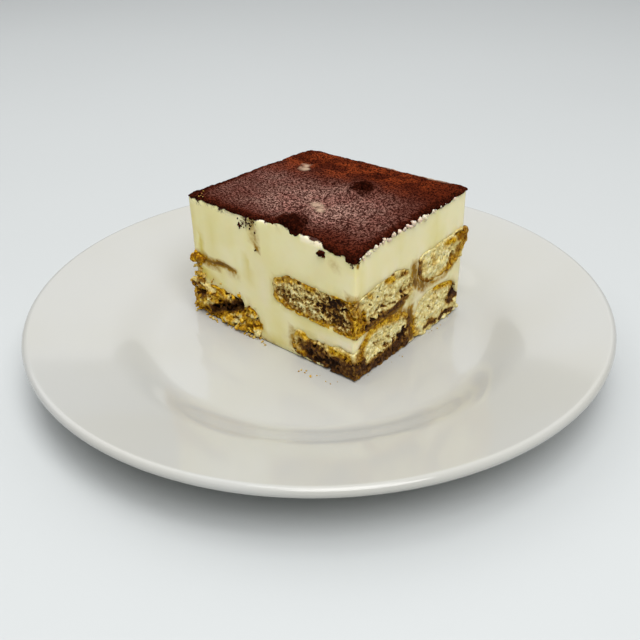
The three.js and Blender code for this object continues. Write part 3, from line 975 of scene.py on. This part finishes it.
def addClumps(space, field, body, low, high, random):  # on the torn face
    tries = random.uniform(low, high, (40000, 3))
    outside = space.sample(field, tries)
    near = (np.abs(outside) < 0.4) & (tries[:, 1] < 5) & (space.sample(body, tries) < -0.8)
    clumps = tries[near][:tornSetup["pieces"]]
    least, most = tornSetup["sizes"]
    sizes = least + (most - least) * random.random(len(clumps)) ** 2
    placeBlobs(space, field, clumps, sizes, random.uniform(0.5, 1.8, (len(clumps), 3)), random, add=True)


def makeLadyfinger(node, look):
    points = cadShape(node)[0]
    low, high = points.min(0), points.max(0)
    margin = 3.2
    space = Space(low - margin, high + margin, look["step"])
    body = blur(bodyField(space, node, look, 4.0), 0.5 / look["step"])
    cut = cutDistance(space, look, low, high)
    nearCut = smooth(cut, -4.0, -1.0)
    body = body + nearCut * (0.4 * space.noise(6.0, look["seed"]) + 0.5 * space.noise(2.0, look["seed"] + 1))
    field = np.maximum(body, cut)
    random = np.random.default_rng(look["seed"] + 100)
    if look["broken"]:
        addClumps(space, field, body, low, high, random)
    if look["lumps"]:
        lumps = np.array(look["lumps"])
        stretches = random.uniform(0.85, 1.2, (len(lumps), 3))
        placeBlobs(space, field, lumps[:, :3], lumps[:, 3], stretches, random, add=True)
        field = field + 0.5 * space.noise(1.6, look["seed"] + 60) * smooth(cut, -1.5, 0)
    places, radii = porePlaces(space, look, body, cut, low, high, random)
    placeBlobs(space, field, places, radii, random.uniform(0.55, 1.6, (len(places), 3)), random)
    field = field + nearCut * 0.12 * space.noise(0.9, look["seed"] + 2)
    piece, points = fieldMesh(node + "_crumb", space, blur(field, 0.5), 0.06)
    paintLadyfinger(piece, look, space, points, -space.sample(body, points), -space.sample(cut, points))
    dress(piece, crumbMaterial)
    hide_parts(node)


def paintLadyfinger(piece, look, space, points, inside, depth):
    wave = space.noiseAt(points, 2.0, look["seed"] + 3)
    wide = space.noiseAt(points, 5.0, look["seed"] + 4)
    rim = np.where(points[:, 0] > length - 1.5, look["rim"] - 0.8, look["rim"])
    crust = clamp(rim + 0.7 * wide) * (1 - smooth(inside + 0.4 * wave, 0.1, look["crust"]))
    soak = np.maximum(look["base"], marked("soak", points, 0.8 * wave + 0.4 * wide))
    soak = np.maximum(soak, 0.9 * marked("coffee", points, 0.5 * wave))
    gold = marked("gold", points, 0.7 * wave)
    if look["broken"]:
        # The torn face is darkened the further it lies behind its front.
        deep = smooth(points[:, 1] + 0.8 * wave, 1.2, 3.4) * (points[:, 1] < 7) * smooth(points[:, 0], 1, 5)
        soak = np.maximum(soak, tornSetup["dark"] * deep)
        clods = space.noiseAt(points, 2.8, look["seed"] + 5)
        chips = space.noiseAt(points, 1.5, look["seed"] + 6)
        golden = tornSetup["gold"] * smooth(clods, -0.55, -0.1) * (1 - smooth(soak, 0.5, 0.9))
        gold = np.maximum(gold, golden)
        soak = np.maximum(soak, 0.75 * smooth(chips, 0.05, 0.5))
    # Painted shade inside the pores: darker the further a point lies behind the cut face.
    pit = smooth(depth, 0.4, 1.4) * smooth(inside, 0.2, 0.8)
    fleck = np.where(points[:, 1] < 1.5, look["flecks"], 0.15)
    paint(piece, crust=crust, soak=soak, gold=gold, pit=pit, fleck=fleck)


for node, look in fingerLooks.items():
    makeLadyfinger(node, look)
print("ladyfingers made")

creamSetup = {
    "step": 0.45,
    "top": 0.75,  # below the cocoa's surface
    "overlap": 0.45,  # so that no gap shows round a ladyfinger
    "corner": 1.2,
    "backCorner": 1.4,
    "blend": 0.9,  # rounds the top edge
    # unevenness of the sides: height, wavelengths, seed
    "waves": [(0.25, (14, 14, 22), 31), (0.13, (3.5, 3.5, 18), 32), (0.06, (1.6, 1.6, 9), 35)],
    "seam": (0.5, 31.3, 0.7),  # depth, place along and half width of the groove down the front
    "crack": (0.35, 26.1, 0.8),  # depth, height above the well and half width of the level one
    "ledge": 0.4,  # how far the front steps back below the crack
}


def blockField(space):  # the cut block before the ladyfingers' pockets
    corner, backCorner = creamSetup["corner"], creamSetup["backCorner"]
    sides = outsideBlock(space.along, space.across, space.up, corner, backCorner)
    sides = space.noises(creamSetup["waves"]) + sides
    depth, place, half = creamSetup["seam"]
    seam = depth * np.exp(-(((space.along - place) / half) ** 2)) * smooth(space.up, 34, 40)
    depth, place, half = creamSetup["crack"]
    dip = space.up - place + 0.1 * np.maximum(space.along - 10, 0)
    crack = depth * np.exp(-((dip / half) ** 2)) * smooth(space.along, 1, 4)
    crack = crack * (1 - smooth(space.along, 16, 24))
    ledge = creamSetup["ledge"] * (1 - smooth(space.up, 24.6, 26.5)) * (1 - smooth(space.along, 14, 25))
    sides = sides + (space.across < 3) * (seam + crack + ledge)
    upper = space.up - (topAt(space.along[:, :, 0], space.across[:, :, 0])[:, :, None] - creamSetup["top"])
    blend = creamSetup["blend"]
    rounded = np.hypot(np.maximum(sides + blend, 0), np.maximum(upper + blend, 0)) - blend
    field = np.where((sides > -blend) & (upper > -blend), rounded, np.maximum(sides, upper))
    return np.maximum(field, 0.32 - space.up)


def makeCream():
    margin = 2.4
    space = Space(
        (-margin, -margin, -margin),
        (length + margin, width + margin, float(topHeights.max()) + margin),
        creamSetup["step"],
    )
    field = blockField(space)
    nearest = np.full(space.shape, 9.0, np.float32)
    for node, look in fingerLooks.items():
        pocket = bodyField(space, node, look, 3.0)
        if node.startswith("ladyfinger_lower"):  # open at the plate
            floor = int(round((1.2 - space.low[2]) / space.step))
            pocket[:, :, :floor] = pocket[:, :, floor:floor + 1]
        edge = creamSetup["overlap"] + 0.3 * space.noise(4, look["seed"] + 7)
        edge = edge + (0.9 if look["broken"] else 0.35) * space.noise(2, look["seed"] + 8)
        field = np.maximum(field, -pocket - edge)
        nearest = np.minimum(nearest, pocket)
    piece, points = fieldMesh("cream_block", space, blur(field, 0.6), 0.03)
    along, across, up = points.T
    wave = space.noiseAt(points, 1.6, 33)
    wide = space.noiseAt(points, 6, 34)
    halo = 1 - smooth(space.sample(nearest, points) + 0.7 * wave, -0.1, 1.8)
    streak = space.noiseAt(points, (3, 3, 20), 38)
    stain = np.maximum(marked("coffee", points, 0.3 * wave + 0.3 * wide), 0.12 * halo)
    yolk = np.maximum(marked("yolk", points, 0.5 * wide), 0.35 * halo)
    below = topAt(along, across) - up
    dust = 1 - smooth(below + 0.7 * wave + 0.5 * wide, 0.9, 1.6)
    dust = np.where((along > length - 1.5) & (across > 4), 0.25 * dust, dust)
    dust = clamp(np.maximum(dust, marked("dust", points, 0.5 * wave)))
    yolk = clamp(np.maximum(yolk, 0.22 * streak))
    # The 0.25 over the whole right-hand face is painted light: it makes that face whiter than the front one.
    white = np.maximum(marked("white", points, 0.5 * wave), 0.25 * smooth(along, 74, 76))
    paint(piece, stain=stain, yolk=yolk, white=clamp(white - 0.3 * streak), dust=dust)
    dress(piece, creamMaterial)
    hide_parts("mascarpone_cream")


makeCream()
print("cream made")

cocoaSetup = {
    "step": 0.3,
    "thickness": 0.95,
    "corner": 1.0,
    "backCorner": 1.2,
    # bare stretches along the front edge: place, half length, how far the cocoa stays back
    "bare": [(58.6, 3.8, 1.6), (35.5, 2.6, 0.8), (53.4, 0.7, 1.2)],
    # where the cocoa ends on the front and right-hand faces: place along the face, height
    "frontHem": [
        (0, 48.8), (10, 48.2), (25, 48.0), (31, 48.3), (33, 49.3), (39, 49.2), (41, 48.0), (51, 47.4),
        (53, 48.8), (62, 48.6), (63.5, 46.6), (70, 46.2), (77, 45.4),
    ],
    "rightHem": [(0, 45.2), (3, 46.2), (6, 47.6), (30, 47.9), (46, 48.6), (64, 49.6)],
    # the band of painted sheen on damp cocoa: middle and half width across, middle and half length along,
    # least and added
    "dampBand": (21, 19, 42, 20, 0.5, 0.45),
    # unevenness of the top and of the edge: height, wavelength, seed
    "grain": [(0.14, 0.8, 51), (0.14, 1.7, 52), (0.16, 5, 53)],
    "ragged": [(0.2, 1.3, 54), (0.35, 4.0, 55)],
    # damp mounds: middle of the dark patch along and across, its radius; the patch is moist cocoa with
    # painted shade on the mound's shaded side
    "lumps": [(48.0, 39.2, 6.0), (47.6, 2.2, 7.4)],
    "moundParts": 34,
    "moundHeight": 1.6,
    "partSizes": (0.7, 1.5),
    # rubbed spots: place along and across, radius, strength
    "rubbed": [
        (13.8, 48.4, 3.0, 0.85), (16, 45.2, 3.0, 0.7), (46.5, 18.5, 3.8, 0.8), (42.5, 20.5, 3.2, 0.6),
    ],
}


def cocoaField(space):  # the skin of cocoa before its mounds
    flat = (space.shape[0], space.shape[1])
    along, across = np.ix_(space.axes[0], space.axes[1])

    def ripples(rows):
        total = 0
        for height, wavelength, seed in rows:
            cells = [max(2, round(n * space.step / wavelength)) for n in flat]
            total = total + height * latticeNoise(flat, cells, seed)
        return total

    grain, ragged = ripples(cocoaSetup["grain"]), ripples(cocoaSetup["ragged"])
    surface = topAt(along, across)
    sides = ragged + outsideBlock(along, across, surface, cocoaSetup["corner"], cocoaSetup["backCorner"])
    bare = sum(inset * np.exp(-(((along - place) / half) ** 4)) for place, half, inset in cocoaSetup["bare"])
    sides = np.maximum(sides, bare - across + 0.6 * ragged)
    edge = np.exp(-((np.minimum(sides, 0) / 0.7) ** 2))
    top = surface + grain - 0.55 * edge
    hem = np.where(
        along - length + across < -6,
        np.interp(along, *zip(*cocoaSetup["frontHem"])) + 9 * (across > 4),
        np.interp(across, *zip(*cocoaSetup["rightHem"])) + 9 * (along < length - 4),
    )
    bottom = surface - cocoaSetup["thickness"]
    bottom = bottom - edge * np.maximum(bottom - hem - 0.6 * ragged, 0)
    field = np.maximum(space.up - top[:, :, None], bottom[:, :, None] - space.up)
    return np.maximum(field, (sides - 0.25)[:, :, None])


def addMounds(space, field):
    random = np.random.default_rng(57)
    for x, y, radius in cocoaSetup["lumps"]:
        count = cocoaSetup["moundParts"]
        share = np.sqrt(random.random(count)) * 0.8
        angle = random.uniform(0, 2 * math.pi, count)
        clumps = np.stack([x + radius * share * np.cos(angle), y + radius * share * np.sin(angle)], axis=1)
        clumps[:, 1] = np.maximum(clumps[:, 1], 0.9)
        heights = topAt(clumps[:, 0], clumps[:, 1]) + cocoaSetup["moundHeight"] * (1 - share)
        heights = heights + random.uniform(-1.1, -0.2, count)
        centres = np.concatenate([clumps, heights[:, None]], axis=1)
        sizes = random.uniform(*cocoaSetup["partSizes"], count)
        placeBlobs(space, field, centres, sizes, random.uniform(0.7, 1.4, (count, 3)), random, add=True)


def makeCocoa():
    low = float(topHeights.min()) - 3.5
    space = Space((-3, -3, low), (length + 2, width + 3, float(topHeights.max()) + 1.2), cocoaSetup["step"])
    field = cocoaField(space)
    addMounds(space, field)
    piece, points = fieldMesh("cocoa_dusting", space, blur(field, 0.4), 0.03)
    along, across = points.T[:2]
    blotch = space.noiseAt(points, (9, 9, 9), 56)
    patch = space.noiseAt(points, 2, 58)
    inset = np.minimum(np.minimum(along, length - along), np.minimum(across, width - across))
    # Where the top gets painted sheen: a band across the middle, weaker towards the front and right-hand
    # edges.
    bandAcross, halfWidth, bandAlong, halfLength, least, added = cocoaSetup["dampBand"]
    band = np.exp(-np.abs((across - bandAcross) / halfWidth) ** 3)
    middle = least + added * np.exp(-(((along - bandAlong) / halfLength) ** 2))
    damp = clamp(band * (middle + 0.3 * blotch)) * smooth(inset + patch, 0.2, 4.5)
    damp = damp * (1 - 0.75 * smooth(along, 50, 60) * (1 - smooth(across, 5, 13)))
    damp = damp * (1 - 0.25 * smooth(along + 3 * blotch, 62, 76))
    damp = damp * (1 - 0.35 * (1 - smooth(across + 3 * blotch, 4, 14)))
    # Dark patches round the mounds, moist cocoa with painted shade on their shaded sides, and darker along
    # the edges except at the back.
    moist = np.zeros(len(points))
    for x, y, radius in cocoaSetup["lumps"]:
        far = np.hypot(along - x, 1.2 * (across - y)) + 1.8 * blotch + 1.4 * patch
        moist = np.maximum(moist, 0.95 * (1 - smooth(far, radius * 0.3, radius)))
    moist = np.maximum(moist, 0.7 * (1 - smooth(inset + patch, 0.3, 2.2)) * (across < width - 4))
    behind = smooth(width + 0.6 - across + 0.7 * patch, 0.3, 1.7)
    thin = 0.85 * (1 - behind) * smooth(blotch + 0.5 * patch, -0.5, 0.3)
    thin = thin * smooth(along, 4, 20) * (1 - smooth(along, 60, 72))
    for x, y, radius, strength in cocoaSetup["rubbed"]:
        far = np.hypot(along - x, across - y) + 1.6 * patch
        thin = np.maximum(thin, strength * (1 - smooth(far, 0, radius)))
    bright = smooth(across - 0.15 * along + 4 * blotch, 30, 52) * (1 - 0.8 * smooth(along, 52, 74))
    paint(piece, damp=damp * (1 - moist), moist=moist, thin=thin, bright=bright)
    dress(piece, cocoaMaterial)
    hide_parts("cocoa_layer")


makeCocoa()
print("cocoa made")

# Loose bits. Each group: middle on the grid, spread, number, least and greatest radius. Values:
# between which the materials' values of each bit lie.
bitGroups = {
    "cocoa_bits": {
        "seed": 61,
        "rough": 0.35,
        "values": {"damp": (0, 0), "moist": (0.5, 0.8), "thin": (0, 0), "bright": (0, 0.2)},
        "groups": [
            ((62.6, -0.1, 44.8), (0.5, 0.1, 0.35), 9, 0.6, 0.95),
            ((28.6, -0.05, 46.4), (2.2, 0.1, 1.6), 46, 0.12, 0.42),
            ((25.3, -0.05, 44.4), (0.4, 0.1, 0.3), 5, 0.3, 0.5),
            ((32.4, -0.05, 37.2), (0.3, 0.1, 0.5), 5, 0.2, 0.4),
            ((75.2, -0.05, 45.4), (0.7, 0.1, 0.9), 10, 0.15, 0.4),
            ((76.8, 1.6, 46.0), (0.05, 0.8, 0.9), 8, 0.12, 0.3),
            ((3.2, 2.8, 49.6), (1.6, 1.3, 0.1), 20, 0.15, 0.4),
        ],
    },
    "cake_bits": {
        "seed": 62,
        "rough": 0.35,
        "values": {"soak": (0, 0.5), "gold": (0.3, 0.9), "crust": (0, 0), "pit": (0, 0), "fleck": (0, 0)},
        "groups": [
            ((28, -0.5, 0.3), (3.0, 0.5, 0.1), 14, 0.3, 0.8),
            ((8, -0.5, 0.3), (5.0, 0.5, 0.1), 14, 0.3, 0.8),
            ((34.5, -1.6, 0.3), (1.6, 0.4, 0.05), 5, 0.15, 0.4),
            ((1.8, -0.1, 18.4), (1.3, 0.15, 1.2), 16, 0.3, 0.9),
            ((-1.0, 1.4, 15.6), (0.25, 0.6, 1.4), 10, 0.3, 0.8),
            ((6.5, -0.05, 16.8), (3.0, 0.1, 0.5), 10, 0.2, 0.6),
            ((60, -6.4, 0.15), (2.0, 0.8, 0.03), 4, 0.2, 0.45),
            ((67, -4.5, 0.15), (5.0, 1.2, 0.03), 6, 0.12, 0.3),
            ((79, 12, 0.15), (1.0, 10, 0.03), 6, 0.12, 0.3),
            ((78, 46, 0.15), (0.6, 8, 0.03), 6, 0.12, 0.3),
            ((-2.2, 30, 0.15), (1.0, 14, 0.05), 24, 0.2, 0.6),
            ((3.2, 2.6, 49.6), (1.4, 1.1, 0.1), 6, 0.2, 0.4),
        ],
    },
}


# Bits of cream dragged up over the cocoa's right-hand edge.
beadSetup = {
    "first": 2.4,
    "last": 55.0,
    "spacing": 2.5,
    "least": 0.35,
    "most": 1.1,
    "seed": 63,
    "rough": 0.1,
    "values": {
        "stain": (0, 0), "yolk": (0, 0.2), "dust": (0.1, 0.35), "white": (0.6, 1.0), "blush": (0.1, 0.8),
    },
}


def beadGroups():
    setup = beadSetup
    places = np.arange(setup["first"], setup["last"], setup["spacing"])
    groups = []
    for across in places + np.random.default_rng(setup["seed"]).uniform(-1.0, 1.0, len(places)):
        fade = 1 - 0.45 * float(smooth(across, 34, 50))
        up = float(topAt(length, across)) - 1.6
        middle = (length + 0.25, across, up)
        groups.append((middle, (0.1, 0.6, 0.35), 3, setup["least"] * fade, setup["most"] * fade))
    return groups


def makeBits(name, setup, material):
    ball = bmesh.new()
    bmesh.ops.create_icosphere(ball, subdivisions=2, radius=1)
    shape = np.array([v.co for v in ball.verts])
    faces = np.array([[v.index for v in f.verts] for f in ball.faces])
    ball.free()
    random = np.random.default_rng(setup["seed"])
    allPoints, allFaces = [], []
    for middle, spread, count, least, most in setup["groups"]:
        for _ in range(count):
            centre = np.array(middle) + np.clip(random.normal(size=3), -2, 2) * spread
            radius = least + (most - least) * random.random() ** 2
            rough = 1 + setup["rough"] * random.uniform(-1, 1, (len(shape), 1))
            stretch = random.uniform(0.6, 1.3, 3)
            turn = np.linalg.qr(random.normal(size=(3, 3)))[0]
            points = (shape * rough * stretch) @ turn * radius + centre
            points[:, 2] = np.maximum(points[:, 2], 0.02)
            allFaces.append(faces + len(shape) * len(allPoints))
            allPoints.append(points)
    piece = makeMesh(name, np.concatenate(allPoints), [np.concatenate(allFaces)])
    for label, (low, high) in setup["values"].items():
        paint(piece, **{label: np.repeat(random.uniform(low, high, len(allPoints)), len(shape))})
    dress(piece, material)
    print(name, sum(len(f) for f in allFaces), "triangles")


makeBits("cream_bits", {**beadSetup, "groups": beadGroups()}, creamMaterial)
makeBits("cocoa_bits", bitGroups["cocoa_bits"], cocoaMaterial)
makeBits("cake_bits", bitGroups["cake_bits"], crumbMaterial)

plateSetup = {
    "lip": 1.75,
    "rimSlope": 0.29,
    "shoulder": 70.0,
    "well": 57.0,
    "wellThickness": 3.5,
    "rimThickness": 3.3,
    "foot": 53.0,
    "footWidth": 4.0,
    "segments": 288,
}


def curve(steps, *points):  # a line through two points, or a bezier curve through four
    t = np.linspace(0, 1, steps, endpoint=False)[:, None]
    top = len(points) - 1
    shares = [math.comb(top, k) * (1 - t) ** (top - k) * t ** k for k in range(top + 1)]
    return sum(share * np.array(point, float) for share, point in zip(shares, points))


def plateProfile():
    _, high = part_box("plate")
    radius, height = high.x / mm, high.z / mm
    p = plateSetup
    floor = sliceGrid["floor"]
    lip = np.array([radius - p["lip"], height - p["lip"]])
    rimEnd = lip + (-1.2, 1.2)
    shoulder = np.array([p["shoulder"], rimEnd[1] - (rimEnd[0] - p["shoulder"]) * p["rimSlope"]])
    under = floor - p["wellThickness"]
    inner, outer = p["foot"] - p["footWidth"] / 2, p["foot"] + p["footWidth"] / 2
    footEnd = (outer + 1.6, under - 0.5)
    belowRim = (shoulder[0] - 4, shoulder[1] - p["rimThickness"] - 3)
    underShoulder = (shoulder[0] + 1.5, shoulder[1] - p["rimThickness"] + 0.2)
    turn = np.linspace(-0.4 * math.pi, 0.6 * math.pi, 25)
    arc = lip + p["lip"] * np.stack([np.cos(turn), np.sin(turn)], axis=1)
    top = shoulder + (7, 7 * p["rimSlope"])
    return np.concatenate([
        curve(8, (0.01, under), (inner - 1.6, under)),
        curve(8, (inner - 1.6, under), (inner - 0.9, under), (inner - 0.7, 0), (inner + 0.3, 0)),
        curve(3, (inner + 0.3, 0), (outer - 0.3, 0)),
        curve(8, (outer - 0.3, 0), (outer + 0.8, 0), (outer + 0.6, under - 0.6), footEnd),
        curve(16, footEnd, (p["well"] + 2, under + 0.2), belowRim, underShoulder),
        curve(16, underShoulder, (lip[0] - 1.4, lip[1] - 1.7)),
        arc,
        curve(30, arc[-1], top)[1:],
        curve(24, top, (top[0] - 8, top[1] - 8 * p["rimSlope"]), (p["well"] + 7, floor), (p["well"], floor)),
        curve(20, (p["well"], floor), (0.01, floor)),
        [(0.01, floor)],
    ])


def makePlate():
    profile = plateProfile()
    count = plateSetup["segments"]
    turn = np.arange(count) * 2 * math.pi / count
    rings = np.stack([
        profile[:, None, 0] * np.cos(turn),
        profile[:, None, 0] * np.sin(turn),
        np.broadcast_to(profile[:, None, 1], (len(profile), count)),
    ], axis=2)
    points = rings.reshape(-1, 3)
    ring, step = np.meshgrid(np.arange(len(profile) - 1), np.arange(count), indexing="ij")
    after = (step + 1) % count
    quads = np.stack([
        ring * count + step,
        ring * count + after,
        (ring + 1) * count + after,
        (ring + 1) * count + step,
    ], axis=2).reshape(-1, 4)
    piece = makeMesh("plate_glazed", points * mm, [quads], gridPoints=False)
    dress(piece, glazeMaterial)
    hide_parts("plate")
    print("plate", len(quads), "faces")


makePlate()


def makeFloor():
    half = lightSetup["floorSize"] / 2
    corners = np.array([(-half, -half, 0), (half, -half, 0), (half, half, 0), (-half, half, 0)])
    floor = makeMesh("floor", corners, [np.array([[0, 1, 2, 3]])], gridPoints=False)
    floor.data.materials.append(makeFloorMaterial())


makeFloor()
makeLights()
makeCamera()
print("stage made")
